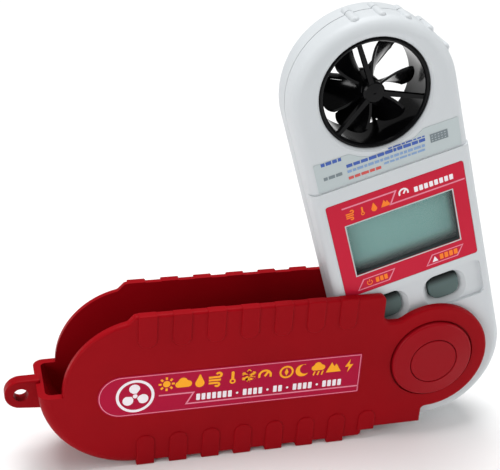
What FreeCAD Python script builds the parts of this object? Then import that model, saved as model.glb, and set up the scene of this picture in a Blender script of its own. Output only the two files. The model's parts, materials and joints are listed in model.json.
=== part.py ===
import FreeCAD, Part
import math
import os
from FreeCAD import Placement, Rotation, Vector

# Handheld weather meter: a white instrument that swings out of a red channel-shaped
# sheath about a pivot at the sheath's right end. Millimetres.
#
# Every piece is drawn about the pivot: X along the sheath, Y through its thickness
# (the front faces -Y), Z up. The instrument is drawn standing straight up and is then
# leaned by REST_LEAN about the pivot. Last, everything is moved so that the origin is
# the bottom centre of the whole object, which stands on the ribs of its spine.

# ---------------------------------------------------------------- driving dimensions
SHEATH_T = 19.4          # outside thickness of the sheath
PANEL_T = 2.0            # wall of the sheath's two side panels
METER_T = 14.4           # thickness of the instrument
METER_R = 22.5           # half width of the instrument, and the radius of both its ends
HEAD_END_A = 82.0        # height above the pivot of the centre of the instrument's round top
HEAD_A = 84.6            # height of the wind wheel's centre above the pivot
BODY_SHOULDER = (2.2, 2.2)   # how far the front edge's rounding runs inwards and drops back
HEAD_SHOULDER = (3.8, 3.4)
REAR_ROUND = 1.2         # rounding of the instrument's rear edge
REST_LEAN = 17.5         # how far the instrument leans back over the sheath at rest
METER_WALL = 1.8         # wall of the instrument's two shells
STEP_A = 62.2            # height of the step below the sloping pocket of the head's label
POCKET_TOP_A = 72.0      # height at which that pocket runs out into the face
POCKET_DEPTH = 0.5
POCKET_HALF = 20.8
RIDGES = 5               # grip ridges on the rim of the head
RIDGE_FIRST = -2.0       # degrees from the top of the head
RIDGE_R = 1.17           # radius of one finger bar
RIDGE_PITCH = 18.0

# sheath
TOP_Z = 22.3             # top edge of the panels
BASE_Z = -25.3           # underside of the spine between ribs
RIB_Z = -26.2            # underside of the ribs
EAR_R = 17.2             # round ear about the pivot
PANEL_LEFT_X = -86.4     # left end of the panels' straight top edge
PANEL_RIGHT_X = -16.1    # right end of it
NECK_Z = 13.3            # floor of the neck between that end and the ear
TAIL_X = -0.6            # right end of the panels' lower edge
TAIL_Z = -22.6           # underside of the panels near the pivot
SPINE_END_X = -19.2      # right end of the spine wall
CUT_X = -84.0            # centre and radius of the arc that ends the panels
CUT_Z = -1.0
CUT_R = 21.7
END_X = -85.0            # centre and outer radius of the closed left end
END_Z = 0.8
END_R = 27.0
RIM_ROUND = 0.8          # rounding of the panels' outer rims
END_ROUND = 3.0          # rounding of the closed end
RIB_PITCH = 9.33
RIB_W = 5.1
RIB_FIRST_X = -83.05
RIB_PROUD = 0.38         # how far the ribs stand off the panels
LOW_RIB_TOP_Z = -16.3
HIGH_RIB_FOOT_Z = 12.6
EYELET_X = -116.0
EYELET_Z = -4.4
EYELET_R = 4.4
EYELET_HOLE_R = 2.0
EYELET_T = 3.4

# pivot
HUB_BARREL_R = 6.0
HUB_RUN = 0.05           # radial clearance of the bush on the barrel
BUSH_R = 7.4
HUB_DISC_R = 12.1
HUB_SEAT = 0.8           # depth of the recess in the panels that takes the hub discs
HUB_GROOVE = 0.55        # gap left around each disc in its recess
HUB_EDGE = 0.85          # how far the discs' edges stand off the panels
HUB_CROWN = 1.8          # how far their middles stand off the panels
PLUG_R = 6.9
WASHER_POCKET_R = 9.6
WASHER_POCKET_DEPTH = 0.5

# wind wheel and its cartridge
DUCT_R = 15.05           # hole through the instrument's head
CARTRIDGE_R = 15.0
CARTRIDGE_BORE = 13.7
CARTRIDGE_FACE_Y = 6.3   # half depth of the cartridge
WHEEL_R = 12.8
WHEEL_HALF = 3.2
WHEEL_HUB_R = 3.0
BLADES = 6
BLADE_START = 35.2       # degrees of the first blade from the head's top, at rest
BLADE_TWIST = 36.0       # degrees that a blade turns from its front to its rear edge
BLADE_BOW = -0.5         # sideways bow of a blade at half its length
BLADE_HALF_T = 0.55      # half thickness of a blade at its middle
ARM_TURN = -5.5          # degrees that the cartridge is turned from upright
SHAFT_R = 0.5
ARM_Y = 4.2              # inner face of the spider arms
ARM_OUT_Y = 5.6

# front face of the instrument
LABEL_HALF = 19.6
LABEL_LOW = 28.2
LABEL_HIGH = 58.0
WINDOW_HALF = 15.3
WINDOW_LOW = 34.3
WINDOW_HIGH = 50.4
LABEL_T = 0.2
TRAY_HALF = 19.8
TRAY_LOW = 14.2
TRAY_HIGH = 25.8
TRAY_DEPTH = 0.85
BUTTON_L = 8.7           # sideways distance of each button's centre
BUTTON_A = 20.1
BUTTON_W = 9.0
BUTTON_H = 7.5
BUTTON_TRAVEL = 0.5
BUTTON_SUNK = 0.3        # depth of a key's face below the tray's floor
WELL_REACH = 1.9         # how far the dished well spreads beside and below each button
WELL_REACH_TOP = 0.8     # and above it
WELL_BOTTOM_Y = -4.7     # depth of the well's foot
BOSS_BACK_Y = -3.9       # rear of the thickened wall behind the wells
PART_Y = 0.9             # parting plane between the two shells
SEAM = 0.15              # half width of the groove at the parting plane

# battery door, on the rear face
DOOR_A = 41.0
DOOR_R = 12.2
DOOR_LIP_R = 11.4
DOOR_TURN = 30.0
TUB_R = 13.0

# small parts
BOARD_Y = -1.3           # front face of the circuit board
BOARD_T = 1.0
DOME_RISE = 0.45         # height of the dome switches on the board
POST_L = 17.4
POST_AS = (27.8, 58.6)
SCREW_R = 0.9

HALF_SHEATH = SHEATH_T / 2
HALF_METER = METER_T / 2
CHANNEL_HALF = HALF_SHEATH - PANEL_T
INNER_Y = HALF_METER - METER_WALL
BOARD_BACK = BOARD_Y + BOARD_T
Y_AXIS = Vector(0, 1, 0)


# ---------------------------------------------------------------- drawing helpers
def rounded_loop(corners):
    """Closed wire in the XZ plane through (x, z, corner radius)."""
    ends = []
    count = len(corners)
    for i, (x, z, radius) in enumerate(corners):
        here = Vector(x, 0, z)
        before = Vector(corners[i - 1][0], 0, corners[i - 1][1]) - here
        after = Vector(corners[(i + 1) % count][0], 0, corners[(i + 1) % count][1]) - here
        before.normalize()
        after.normalize()
        if radius == 0:
            ends.append((here, None, here))
            continue
        half = before.getAngle(after) / 2
        middle = (before + after).normalize()
        reach = radius / math.tan(half)
        crown = here + middle * (radius / math.sin(half) - radius)
        ends.append((here + before * reach, crown, here + after * reach))
    edges = []
    for i, (start, crown, end) in enumerate(ends):
        if crown is not None:
            edges.append(Part.Arc(start, crown, end).toShape())
        following = ends[(i + 1) % count][0]
        if end.distanceToPoint(following) > 1e-6:
            edges.append(Part.LineSegment(end, following).toShape())
    return Part.Wire(edges)


def prism(corners, y0, y1):
    """Plate between two Y planes, with an outline of (x, z, corner radius)."""
    face = Part.Face(rounded_loop(corners))
    face.translate(Vector(0, y0, 0))
    return face.extrude(Vector(0, y1 - y0, 0))


def plate(x0, x1, z0, z1, y0, y1, radius=0):
    """Rectangular plate with rounded corners."""
    return prism([(x0, z0, radius), (x1, z0, radius), (x1, z1, radius), (x0, z1, radius)], y0, y1)


def disc(x, z, radius, y0, y1):
    return Part.makeCylinder(radius, y1 - y0, Vector(x, y0, z), Y_AXIS)


def ring(x, z, outer, inner, y0, y1):
    return disc(x, z, outer, y0, y1).cut(disc(x, z, inner, y0 - 1, y1 + 1))


def turned(points, x=0, z=0):
    """Solid of revolution about a Y line, from (radius, y) or (radius, y, corner radius) points."""
    face = Part.Face(rounded_loop([(*point, 0)[:3] for point in points]))
    solid = face.revolve(Vector(0, 0, 0), Vector(0, 0, 1), 360)
    solid.rotate(Vector(0, 0, 0), Vector(1, 0, 0), -90)
    solid.translate(Vector(x, 0, z))
    return solid


def union(shapes):
    return shapes[0].fuse(shapes[1:]).removeSplitter()


def round_edges(shape, radius, wanted):
    return shape.makeFillet(radius, [edge for edge in shape.Edges if wanted(edge)])


def on_plane(edge, y):
    """True for an edge that lies in the plane at Y = y."""
    box = edge.BoundBox
    return abs(box.YMin - y) < 1e-4 and abs(box.YMax - y) < 1e-4


def along_y(edge):
    """True for a straight edge that runs along Y."""
    box = edge.BoundBox
    return box.XLength < 1e-4 and box.ZLength < 1e-4


def both_sides(shape):
    """A piece and its mirror image about X = 0."""
    return [shape, shape.mirror(Vector(0, 0, 0), Vector(1, 0, 0))]


# ---------------------------------------------------------------- sheath
def sheath_outline():
    """Both panels as one block, with rounded rims; the closed end is added to it."""
    y0 = -HALF_SHEATH
    y1 = HALF_SHEATH
    foot_x = PANEL_LEFT_X - 1.9
    foot_z = CUT_Z + math.sqrt(CUT_R ** 2 - (foot_x - CUT_X) ** 2)
    main = prism([
        (foot_x, foot_z, 0), (foot_x, CUT_Z, 0), (END_X + 0.5, CUT_Z, 0), (END_X + 0.5, BASE_Z, 0),
        (SPINE_END_X, BASE_Z, 0.9), (SPINE_END_X + 0.7, TAIL_Z, 0), (TAIL_X, TAIL_Z, 0), (TAIL_X, 0, 0),
        (-6, NECK_Z, 0), (PANEL_RIGHT_X, NECK_Z, 2.4), (PANEL_RIGHT_X, TOP_Z, 2.0),
        (PANEL_LEFT_X, TOP_Z, 1.0),
    ], y0, y1)
    cut_disc = disc(CUT_X, CUT_Z, CUT_R, y0, y1)
    cut_disc = cut_disc.common(plate(-130, END_X, CUT_Z, 40, y0, y1))
    core_r = END_R - END_ROUND - 0.2
    core = disc(END_X, END_Z, core_r, y0, y1)
    core = core.common(plate(-130, END_X + 0.5, -40, CUT_Z, y0, y1))
    shape = union([main, cut_disc, core, disc(0, 0, EAR_R, y0, y1)])

    ear_x = -math.sqrt(EAR_R ** 2 - NECK_Z ** 2)

    def at_ear(edge):
        point = edge.BoundBox.Center
        return along_y(edge) and abs(point.x - ear_x) < 0.4 and abs(point.z - NECK_Z) < 0.5

    def inside_corner(edge):
        point = edge.BoundBox.Center
        at_tail = abs(point.x - TAIL_X) < 0.3 and abs(point.z + EAR_R) < 0.4
        at_foot = abs(point.x - foot_x) < 0.1 and abs(point.z - foot_z) < 0.3
        return along_y(edge) and (at_tail or at_foot)

    def rim(edge):
        flat = on_plane(edge, y0) or on_plane(edge, y1)
        box = edge.BoundBox
        joint = box.ZMax < CUT_Z + 0.01 and box.XMax < END_X + 0.51
        return flat and not joint

    shape = round_edges(shape, 2.6, at_ear)
    shape = round_edges(shape, 1.3, inside_corner)
    return round_edges(shape, RIM_ROUND, rim)


def sheath_end():
    """Closed, well rounded left end below the panels' cut."""
    y0 = -HALF_SHEATH
    y1 = HALF_SHEATH
    block = disc(END_X, END_Z, END_R, y0, y1)
    block = block.common(plate(-130, END_X + 0.5, -40, CUT_Z, y0, y1))

    def rim(edge):
        flat = on_plane(edge, y0) or on_plane(edge, y1)
        return flat and hasattr(edge.Curve, "Radius")

    return round_edges(block, END_ROUND, rim)


def rib(x, z0, z1, top_round, foot_round):
    """One grip rib across the whole thickness of the sheath."""
    y = HALF_SHEATH + RIB_PROUD
    half = RIB_W / 2
    block = prism([
        (x - half, z0, foot_round), (x + half, z0, foot_round),
        (x + half, z1, top_round), (x - half, z1, top_round),
    ], -y, y)
    return round_edges(block, 0.35, lambda edge: on_plane(edge, -y) or on_plane(edge, y))


def grip_ribs():
    """Two rows of ribs; the last low one follows the panels' raised tail."""
    ribs = []
    for i in range(8):
        x = RIB_FIRST_X + RIB_PITCH * i
        if i < 7:
            ribs.append(rib(x, RIB_Z, LOW_RIB_TOP_Z, 2.4, 0.3))
            ribs.append(rib(x, HIGH_RIB_FOOT_Z, TOP_Z + 0.15, 0.3, 2.4))
        else:
            ribs.append(rib(x, TAIL_Z - 0.45, LOW_RIB_TOP_Z, 2.4, 0.3))
    return ribs


def channel():
    """The space inside the sheath, open at the top, the right end and the upper left."""
    y = CHANNEL_HALF
    end_r = END_R - PANEL_T
    far = 45
    left = disc(END_X, END_Z, end_r, -y, y).common(plate(-130, END_X, -40, END_Z, -y, y))
    left = union([left, plate(END_X - end_r, END_X, END_Z, far, -y, y)])

    def corner(edge):
        point = edge.BoundBox
        flat = on_plane(edge, -y) or on_plane(edge, y)
        outside = hasattr(edge.Curve, "Radius") or point.XMax < END_X - end_r + 0.01
        return flat and outside

    left = round_edges(left, 1.6, corner)
    right = plate(END_X - 0.1, 30, BASE_Z + PANEL_T, far, -y, y)
    return union([left, right])


def lanyard_eyelet():
    y = EYELET_T / 2
    neck = prism([
        (EYELET_X, EYELET_Z - EYELET_R, 0), (END_X - END_R + 2.2, EYELET_Z - EYELET_R - 0.6, 0),
        (END_X - END_R + 1.2, EYELET_Z + EYELET_R, 0), (EYELET_X, EYELET_Z + EYELET_R, 0),
    ], -y, y)
    tab = union([disc(EYELET_X, EYELET_Z, EYELET_R, -y, y), neck])
    return round_edges(tab, 0.5, lambda edge: on_plane(edge, -y) or on_plane(edge, y))


def sheath_shell():
    body = union([sheath_outline(), sheath_end()] + grip_ribs() + [lanyard_eyelet()])
    body = body.cut(channel())
    body = body.cut(disc(EYELET_X, EYELET_Z, EYELET_HOLE_R, -10, 10))
    recess_r = HUB_DISC_R + HUB_GROOVE
    body = body.cut(disc(0, 0, recess_r, -20, -HALF_SHEATH + HUB_SEAT))
    body = body.cut(disc(0, 0, recess_r, HALF_SHEATH - HUB_SEAT, 20))
    return body.cut(disc(0, 0, HUB_BARREL_R + 0.02, -20, 20))


def sheath_label():
    """Printed strip on the front panel, round at its left end."""
    x0 = -96.4
    x1 = -21.5
    z0 = -9.1
    z1 = 4.1
    radius = (z1 - z0) / 2 - 0.01
    face = -HALF_SHEATH
    return prism([
        (x0, z0, radius), (x1, z0, 0.6), (x1, z1, 0.6), (x0, z1, radius),
    ], face - 0.15, face)


# ---------------------------------------------------------------- pivot, fixed to the sheath
def hub(side, bore):
    """Flanged half barrel with a low cone for its face: side is -1 at the front, 1 at the rear."""
    face = HALF_SHEATH
    seat = face - HUB_SEAT
    hole = PLUG_R + 0.2
    outline = [
        (0, 0), (HUB_BARREL_R, 0), (HUB_BARREL_R, seat), (HUB_DISC_R, seat),
        (HUB_DISC_R, face + HUB_EDGE, 0.75), (hole, face + HUB_CROWN, 0.25),
        (hole, face + 0.2), (0, face + 0.2),
    ]
    shape = turned([(r, side * y, *rest) for r, y, *rest in outline])
    return shape.cut(disc(0, 0, bore, -20, 20))


def hub_plug(side):
    """Disc that hides the pivot screw in the middle of a hub."""
    low = HALF_SHEATH + 0.2
    high = HALF_SHEATH + HUB_CROWN
    outline = [(0, low), (PLUG_R, low), (PLUG_R, high, 0.25), (0, high)]
    return turned([(r, side * y, *rest) for r, y, *rest in outline])


def pivot_hub_front():
    """The front half, with the brass nut's pocket behind its plug."""
    return hub(-1, 1.52).cut(disc(0, 0, 3.02, -HALF_SHEATH - 0.2, -HALF_SHEATH + 2.6))


def pivot_hub_rear():
    """The rear half, with the screw head's counterbore."""
    return hub(1, 1.52).cut(disc(0, 0, 3.02, HALF_SHEATH - 2.2, HALF_SHEATH + 0.2))


def pivot_nut():
    """Round brass nut in the front hub."""
    return ring(0, 0, 3.0, 1.5, -HALF_SHEATH, -HALF_SHEATH + 2.6)


def pivot_screw():
    """Cross-head screw that clamps the two hubs together."""
    head_y = HALF_SHEATH - 0.2
    shank = disc(0, 0, 1.5, -HALF_SHEATH + 0.3, head_y - 2.0)
    head = disc(0, 0, 2.8, head_y - 2.0, head_y)
    slots = [plate(-1.7, 1.7, -0.4, 0.4, head_y - 1.0, head_y + 1)]
    slots.append(plate(-0.4, 0.4, -1.7, 1.7, head_y - 1.0, head_y + 1))
    return union([shank, head]).cut(slots[0]).cut(slots[1])


def friction_washers():
    """A dished steel washer on each side of the instrument."""
    outline = [
        (HUB_BARREL_R + 0.15, CHANNEL_HALF - 0.2), (7.6, CHANNEL_HALF - 0.45), (9.0, CHANNEL_HALF - 0.2),
        (9.0, CHANNEL_HALF), (7.6, CHANNEL_HALF - 0.25), (HUB_BARREL_R + 0.15, CHANNEL_HALF),
    ]
    rear = turned(outline)
    front = turned([(r, -y) for r, y in outline])
    return Part.makeCompound([front, rear])


# ---------------------------------------------------------------- instrument shells
def soft_half_section(radius, front, rear, run, drop, rear_round):
    """Half cross-section of the instrument with rounded shoulders, as a face at X >= 0."""
    tight = 0.45

    def shoulder(y, run, drop):
        curve = Part.BezierCurve()
        curve.setPoles([
            Vector(radius - run, y, 0), Vector(radius - run * tight, y, 0),
            Vector(radius, y + drop * tight, 0), Vector(radius, y + drop, 0),
        ])
        return curve.toShape()

    def line(a, b):
        return Part.LineSegment(Vector(*a, 0), Vector(*b, 0)).toShape()

    edges = [
        line((0, front), (radius - run, front)), shoulder(front, run, drop),
        line((radius, front + drop), (radius, rear - rear_round)),
        shoulder(rear, rear_round, -rear_round),
        line((radius - rear_round, rear), (0, rear)), line((0, rear), (0, front)),
    ]
    return Part.Face(Part.Wire(Part.__sortEdges__(edges)))


def soft_end(section, centre_z, upward):
    """Half-round end made by turning the section about Y."""
    turn = -180 if upward else 180
    solid = section.revolve(Vector(0, 0, 0), Y_AXIS, turn)
    solid.translate(Vector(0, 0, centre_z))
    return solid


def soft_bar(section, z0, z1):
    """Straight stretch made by extruding the section to both sides."""
    half = section.extrude(Vector(0, 0, z1 - z0))
    half.translate(Vector(0, 0, z0))
    return union(both_sides(half))


def meter_block(inset):
    """The instrument's outer form, or with an inset the hollow inside it."""
    radius = METER_R - inset
    front = -HALF_METER + inset
    rear = HALF_METER - inset
    rear_round = max(REAR_ROUND - inset, 0.3)

    def section(shoulder, shrink):
        run, drop = shoulder
        return soft_half_section(radius, front, rear, run - inset * shrink, drop - inset * shrink, rear_round)

    body = section(BODY_SHOULDER, 0.6)
    head = section(HEAD_SHOULDER, 0.9)
    step = STEP_A - inset
    return union([
        soft_end(body, 0, False), soft_bar(body, 0, step),
        soft_bar(head, step, HEAD_END_A), soft_end(head, HEAD_END_A, True),
    ])


def grip_ridges():
    """Short ridges that run front to back across the rim of the head."""
    ridges = []
    for i in range(RIDGES):
        angle = math.radians(RIDGE_FIRST + RIDGE_PITCH * i)
        x = (METER_R - 0.35) * math.sin(angle)
        z = HEAD_END_A + (METER_R - 0.35) * math.cos(angle)
        bar = disc(x, z, RIDGE_R, -4.8, 4.6)
        ridges.append(round_edges(bar, 0.9, lambda edge: not along_y(edge)))
    return ridges


def button_outline(side, grow):
    x = side * BUTTON_L
    half_w = BUTTON_W / 2 + grow
    half_h = BUTTON_H / 2 + grow
    return (x - half_w, x + half_w, BUTTON_A - half_h, BUTTON_A + half_h)


def key_well(side):
    """Dished well around a button, from the tray's floor down to its foot."""
    x0, x1, z0, z1 = button_outline(side, 0)
    top_y = -HALF_METER + TRAY_DEPTH - 0.01
    mouth = rounded_loop([
        (x0 - WELL_REACH, z0 - WELL_REACH, 4.2), (x1 + WELL_REACH, z0 - WELL_REACH, 4.2),
        (x1 + WELL_REACH, z1 + WELL_REACH_TOP, 4.2), (x0 - WELL_REACH, z1 + WELL_REACH_TOP, 4.2),
    ])
    mouth.translate(Vector(0, top_y, 0))
    foot = rounded_loop([
        (x0 - 0.35, z0 - 0.35, 3.2), (x1 + 0.35, z0 - 0.35, 3.2),
        (x1 + 0.35, z1 + 0.35, 3.2), (x0 - 0.35, z1 + 0.35, 3.2),
    ])
    foot.translate(Vector(0, WELL_BOTTOM_Y, 0))
    return Part.makeLoft([mouth, foot], True, True)


def inner_walls():
    """Walls around the duct and the pivot, screw posts and the thick wall behind the wells."""
    walls = [
        disc(0, HEAD_A, DUCT_R + 1.5, -INNER_Y - 0.5, INNER_Y + 0.5),
        disc(0, 0, WASHER_POCKET_R + 1.2, -INNER_Y - 0.5, INNER_Y + 0.5),
    ]
    for a in POST_AS:
        walls += both_sides(disc(POST_L, a, 2.7, -INNER_Y - 0.5, INNER_Y + 0.5))
    walls += [plate(*button_outline(side, 3.0), -INNER_Y - 0.5, BOSS_BACK_Y, 4.5) for side in (-1, 1)]
    return walls


def hollow_meter():
    """Both shells in one piece, before they are parted and their openings are cut."""
    shape = meter_block(0).cut(meter_block(METER_WALL))
    shape = union([shape] + inner_walls() + grip_ridges())
    mouth = 1.0
    front = -HALF_METER
    rear = HALF_METER
    duct = turned([
        (0, -20), (DUCT_R + mouth + 0.4, -20), (DUCT_R + mouth + 0.4, front),
        (DUCT_R + mouth * 0.6, front + 0.12), (DUCT_R + mouth * 0.2, front + 0.5),
        (DUCT_R, front + mouth), (DUCT_R, rear - mouth), (DUCT_R + mouth * 0.2, rear - 0.5),
        (DUCT_R + mouth * 0.6, rear - 0.12), (DUCT_R + mouth + 0.4, rear),
        (DUCT_R + mouth + 0.4, 20), (0, 20),
    ], 0, HEAD_A)
    shape = shape.cut(duct).cut(disc(0, 0, BUSH_R, -20, 20))
    shape = shape.cut(disc(0, 0, WASHER_POCKET_R, front - 1, front + WASHER_POCKET_DEPTH))
    return shape.cut(disc(0, 0, WASHER_POCKET_R, rear - WASHER_POCKET_DEPTH, rear + 1))


def label_pocket():
    """Wedge cut out of the face below the duct: deepest at the step, nothing at its top."""
    front = -HALF_METER
    side = Part.makePolygon([
        Vector(0, front + POCKET_DEPTH, STEP_A), Vector(0, front - 0.05, POCKET_TOP_A),
        Vector(0, front - 1, POCKET_TOP_A), Vector(0, front - 1, STEP_A),
        Vector(0, front + POCKET_DEPTH, STEP_A),
    ])
    wedge = Part.Face(side).extrude(Vector(2 * POCKET_HALF, 0, 0))
    wedge.translate(Vector(-POCKET_HALF, 0, 0))
    return wedge


def meter_front_shell(block):
    front = -HALF_METER
    shell = block.common(plate(-40, 40, -40, 130, -20, PART_Y - SEAM))
    shell = shell.cut(plate(-LABEL_HALF - 0.1, LABEL_HALF + 0.1, LABEL_LOW - 0.1, LABEL_HIGH + 0.1,
                            front - 1, front + LABEL_T, 0.8))
    shell = shell.cut(plate(-WINDOW_HALF - 0.3, WINDOW_HALF + 0.3, WINDOW_LOW - 0.3, WINDOW_HIGH + 0.3,
                            front - 1, -INNER_Y + 1, 0.5))
    tray = plate(-TRAY_HALF, TRAY_HALF, TRAY_LOW, TRAY_HIGH, front - 1, front + TRAY_DEPTH, 1.6)
    shell = shell.cut(tray)
    for side in (-1, 1):
        shell = shell.cut(plate(*button_outline(side, 0.3), front - 1, BOSS_BACK_Y + 1, 3.2))
        shell = shell.cut(key_well(side))
    shell = shell.cut(label_pocket())
    for a in POST_AS:
        for pilot in both_sides(disc(POST_L, a, SCREW_R, -4.4, 20)):
            shell = shell.cut(pilot)
    return shell


def door_opening():
    """Lip and tub that take the battery door, with two notches for its lugs."""
    opening = disc(0, DOOR_A, DOOR_R + 0.2, 6.2, 20)
    opening = union([opening, disc(0, DOOR_A, DOOR_LIP_R, 0, 20)])
    for i in range(2):
        notch = plate(-2.6, 2.6, 0, DOOR_R + 0.6, 4, 20)
        notch.rotate(Vector(0, 0, 0), Y_AXIS, 180 * i + 90 + DOOR_TURN)
        notch.translate(Vector(0, 0, DOOR_A))
        opening = opening.fuse(notch)
    return opening.removeSplitter()


def meter_rear_shell(block):
    shell = block.common(plate(-40, 40, -40, 130, PART_Y + SEAM, 20))
    tub = ring(0, DOOR_A, TUB_R + 1.2, TUB_R, 1.3, INNER_Y + 0.5)
    shell = shell.fuse(tub).removeSplitter().cut(door_opening())
    for a in POST_AS:
        for hole in both_sides(disc(POST_L, a, SCREW_R + 0.3, -20, 20)):
            shell = shell.cut(hole)
        for recess in both_sides(disc(POST_L, a, 2.0, 4.6, 20)):
            shell = shell.cut(recess)
    for i in range(4):
        z = 59.2 + 2.0 * i
        shell = shell.cut(plate(-5, 5, z, z + 1.0, 0, 20, 0.49))
    return shell


def shell_gasket():
    """Thin seal in the groove between the two shells."""
    outer = meter_block(0.7)
    inner = meter_block(1.6)
    band = plate(-40, 40, -40, 130, PART_Y - SEAM, PART_Y + SEAM)
    return outer.cut(inner).common(band)


def shell_screws():
    """Four pan-head screws, driven from the rear."""
    screws = []
    for a in POST_AS:
        head = disc(POST_L, a, 1.8, 4.6, 5.9)
        shank = disc(POST_L, a, SCREW_R, -4.0, 4.6)
        slots = union([
            plate(POST_L - 1.1, POST_L + 1.1, a - 0.25, a + 0.25, 5.3, 8),
            plate(POST_L - 0.25, POST_L + 0.25, a - 1.1, a + 1.1, 5.3, 8),
        ])
        screws += both_sides(union([head, shank]).cut(slots))
    return Part.makeCompound(screws)


# ---------------------------------------------------------------- labels and display
def bezel_label():
    """Printed overlay around the display window."""
    front = -HALF_METER
    sheet = plate(-LABEL_HALF, LABEL_HALF, LABEL_LOW, LABEL_HIGH, front, front + LABEL_T, 0.7)
    return sheet.cut(plate(-WINDOW_HALF, WINDOW_HALF, WINDOW_LOW, WINDOW_HIGH, front - 1, front + 1, 0.3))


def head_label():
    """Pale foil strip on the sloping floor of the pocket, clear of the duct's mouth."""
    slope = math.degrees(math.atan((POCKET_DEPTH + 0.05) / (POCKET_TOP_A - STEP_A)))
    strip = plate(-POCKET_HALF + 0.6, POCKET_HALF - 0.6, 0.4, POCKET_TOP_A - STEP_A - 0.8, -0.12, 0, 0.4)
    strip.rotate(Vector(0, 0, 0), Vector(1, 0, 0), slope)
    strip.translate(Vector(0, -HALF_METER + POCKET_DEPTH, STEP_A))
    return strip.cut(disc(0, HEAD_A, DUCT_R + 1.9, -20, 20))


def window_lens():
    """Clear sheet cemented behind the front wall."""
    back = -INNER_Y
    return plate(-16.6, 16.6, WINDOW_LOW - 1.5, WINDOW_HIGH + 1.5, back, back + 0.8, 0.5)


def lcd_panel():
    front = -INNER_Y + 0.9
    glass = plate(-16.6, 16.6, WINDOW_LOW - 1.7, WINDOW_HIGH + 1.2, front, front + 0.8, 0.2)
    ledge = plate(-16.6, 16.6, WINDOW_LOW - 0.6, WINDOW_HIGH + 1.2, front + 0.8, front + 1.6, 0.2)
    return union([glass, ledge])


def lcd_reflector():
    front = -INNER_Y + 2.5
    return plate(-15.6, 15.6, WINDOW_LOW + 1.5, WINDOW_HIGH - 1.5, front, front + 0.3, 0.2)


def zebra_strips():
    """Two striped rubber connectors between the display and the board."""
    front = -INNER_Y + 2.5
    low = plate(-14.5, 14.5, WINDOW_LOW - 0.5, WINDOW_LOW + 1.2, front, BOARD_Y)
    high = plate(-14.5, 14.5, WINDOW_HIGH - 1.2, WINDOW_HIGH + 0.5, front, BOARD_Y)
    return Part.makeCompound([low, high])


# ---------------------------------------------------------------- electronics
def main_board():
    board = plate(-14.3, 14.3, 11.4, 66.0, BOARD_Y, BOARD_BACK, 1.0)
    return board.cut(disc(0, 0, WASHER_POCKET_R + 1.6, -5, 5))


def board_parts():
    """Processor, crystal, buzzer and the small chips on the rear of the board."""
    pieces = [
        plate(-6.5, 6.5, 14.2, 24.2, BOARD_BACK, BOARD_BACK + 1.2, 0.3),
        plate(-12.6, -9.4, 16, 23.5, BOARD_BACK, BOARD_BACK + 1.8, 1.4),
        plate(8.6, 12.6, 15, 17.6, BOARD_BACK, BOARD_BACK + 0.9, 0.1),
        plate(8.6, 12.6, 19, 21.6, BOARD_BACK, BOARD_BACK + 0.9, 0.1),
    ]
    for i in range(5):
        x = -12.4 + 5.6 * i
        pieces.append(plate(x, x + 1.6, 26.0, 26.8, BOARD_BACK, BOARD_BACK + 0.5))
    return Part.makeCompound(pieces)


def pressure_sensor():
    """Square barometric sensor with a round vented lid."""
    base = plate(-12.6, -6.6, 57.4, 63.4, BOARD_BACK, BOARD_BACK + 0.8, 0.3)
    lid = disc(-9.6, 60.4, 2.4, BOARD_BACK + 0.8, BOARD_BACK + 2.0)
    return union([base, lid]).cut(disc(-9.6, 60.4, 0.4, BOARD_BACK + 1.2, 9))


def humidity_sensor():
    """Capacitive humidity sensor in its slotted case, behind the rear vents."""
    case = plate(-3.2, 3.2, 59.4, 65.2, BOARD_BACK, BOARD_BACK + 2.4, 0.4)
    for i in range(3):
        z = 60.4 + 1.5 * i
        case = case.cut(plate(-2.2, 2.2, z, z + 0.8, BOARD_BACK + 1.4, 9, 0.35))
    return case


def thermistor():
    """Temperature bead on two leads, beside the humidity sensor."""
    bead = disc(8.4, 62.6, 0.9, BOARD_BACK + 0.8, BOARD_BACK + 2.6)
    leads = [plate(x, x + 0.4, 58.4, 61.9, BOARD_BACK, BOARD_BACK + 0.5) for x in (7.7, 8.7)]
    foot = plate(7.5, 9.3, 61.5, 63.0, BOARD_BACK, BOARD_BACK + 0.8)
    return union([bead, foot] + leads)


def dome_switches():
    outline = [
        (0, BOARD_Y), (2.5, BOARD_Y), (2.2, BOARD_Y - 0.25), (1.2, BOARD_Y - 0.4),
        (0, BOARD_Y - DOME_RISE),
    ]
    return Part.makeCompound([turned(outline, side * BUTTON_L, BUTTON_A) for side in (-1, 1)])


def coin_cell():
    low = 1.5
    outline = [
        (0, low), (9.0, low), (9.0, low + 0.4), (9.6, low + 0.4), (10.0, low + 0.8),
        (10.0, low + 3.0), (9.8, low + 3.2), (0, low + 3.2),
    ]
    return turned(outline, 0, DOOR_A)


def cell_contact_minus():
    """Sprung strip under the cell."""
    foot = plate(-2, 2, 31.5, 35.0, BOARD_BACK, BOARD_BACK + 0.3)
    riser = plate(-2, 2, 34.6, 35.0, BOARD_BACK, 1.5)
    tongue = plate(-2, 2, 34.6, 46.0, 1.2, 1.5)
    return union([foot, riser, tongue])


def cell_contact_plus():
    """Clip that touches the cell's edge."""
    foot = plate(-3, 3, 51.6, 53.8, BOARD_BACK, BOARD_BACK + 0.3)
    blade = plate(-3, 3, 51.2, 51.6, BOARD_BACK, 4.4)
    return union([foot, blade])


def hall_sensor():
    """Pickup that counts the wheel's magnet, under the duct."""
    return plate(-2.1, 2.1, 66.0, 67.6, BOARD_Y, BOARD_BACK + 0.6, 0.2)


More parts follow.
